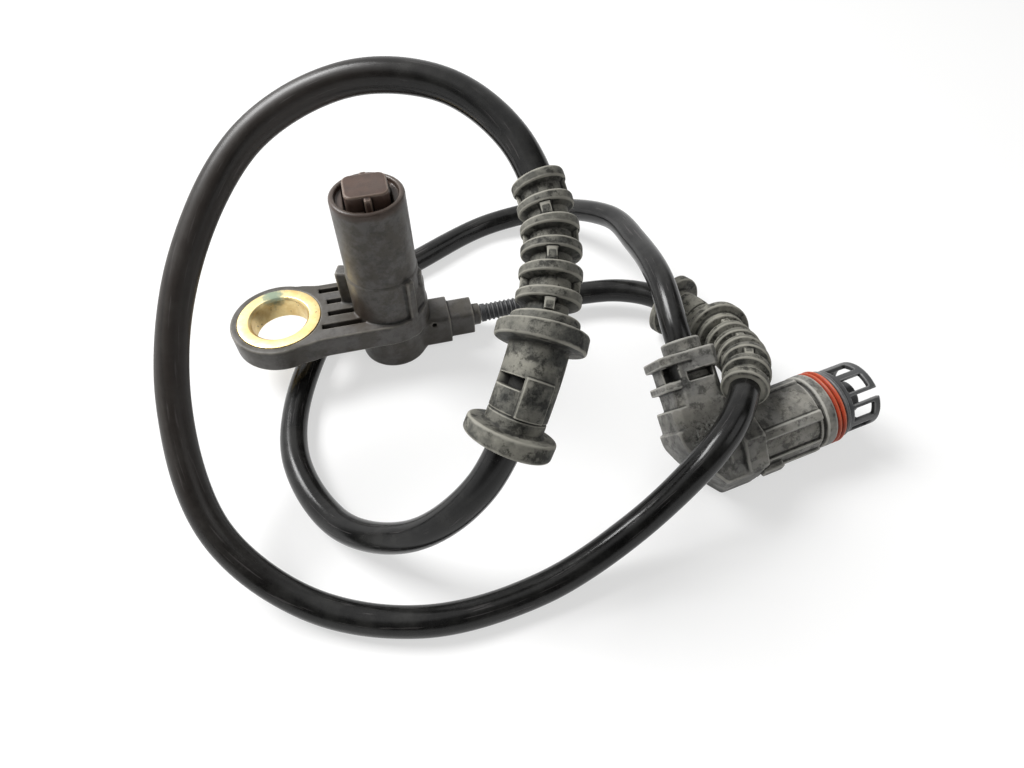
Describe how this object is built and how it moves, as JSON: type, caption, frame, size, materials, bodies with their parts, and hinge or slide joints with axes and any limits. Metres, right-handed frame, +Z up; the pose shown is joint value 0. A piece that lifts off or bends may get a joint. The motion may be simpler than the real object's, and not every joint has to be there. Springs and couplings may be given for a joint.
{
  "type": "wheel speed sensor with cable and plug",
  "caption": "Wheel speed sensor: upright moulded head with a side arm and brass bush, one black cable with rubber bracket grommets, and an angled plug with a red seal.",
  "frame": {"origin": "on the sensor head's axis, in the flat face of its foot", "axes": "+Z up the head to the sensing tip, the mounting arm along -X, the cable outlet along +X"},
  "size_m": [0.144, 0.1206, 0.0741],
  "materials": {
    "head_plastic": "worn satin",
    "tip_plastic": "satin",
    "brass": "machined, spots of corrosion",
    "chip_resin": "satin",
    "magnet_metal": "plain",
    "lead_metal": "tinned",
    "wire_brown": "satin",
    "wire_black": "satin",
    "relief_rubber": "satin",
    "hose_rubber": "gloss with dust",
    "grommet_rubber": "matte, dusty",
    "connector_plastic": "grained, scuffed",
    "insert_plastic": "satin",
    "seal_rubber": "satin"
  },
  "bodies": {
    "root": {"sensor_housing": "head_plastic", "mounting_bush": "brass", "chip_carrier": "tip_plastic", "sensor_chip": "chip_resin", "bias_magnet": "magnet_metal", "chip_lead_1": "lead_metal", "chip_lead_2": "lead_metal", "head_wire_1": "wire_brown", "head_wire_2": "wire_black", "outlet_strain_relief": "relief_rubber", "cable_hose": "hose_rubber", "bracket_grommet_1": "grommet_rubber", "bracket_grommet_2": "grommet_rubber", "connector_housing": "connector_plastic", "plug_insert": "insert_plastic", "seal_ring": "seal_rubber", "contact_1": "lead_metal", "contact_2": "lead_metal", "connector_wire_1": "wire_brown", "connector_wire_2": "wire_black"}
  },
  "joints": []
}
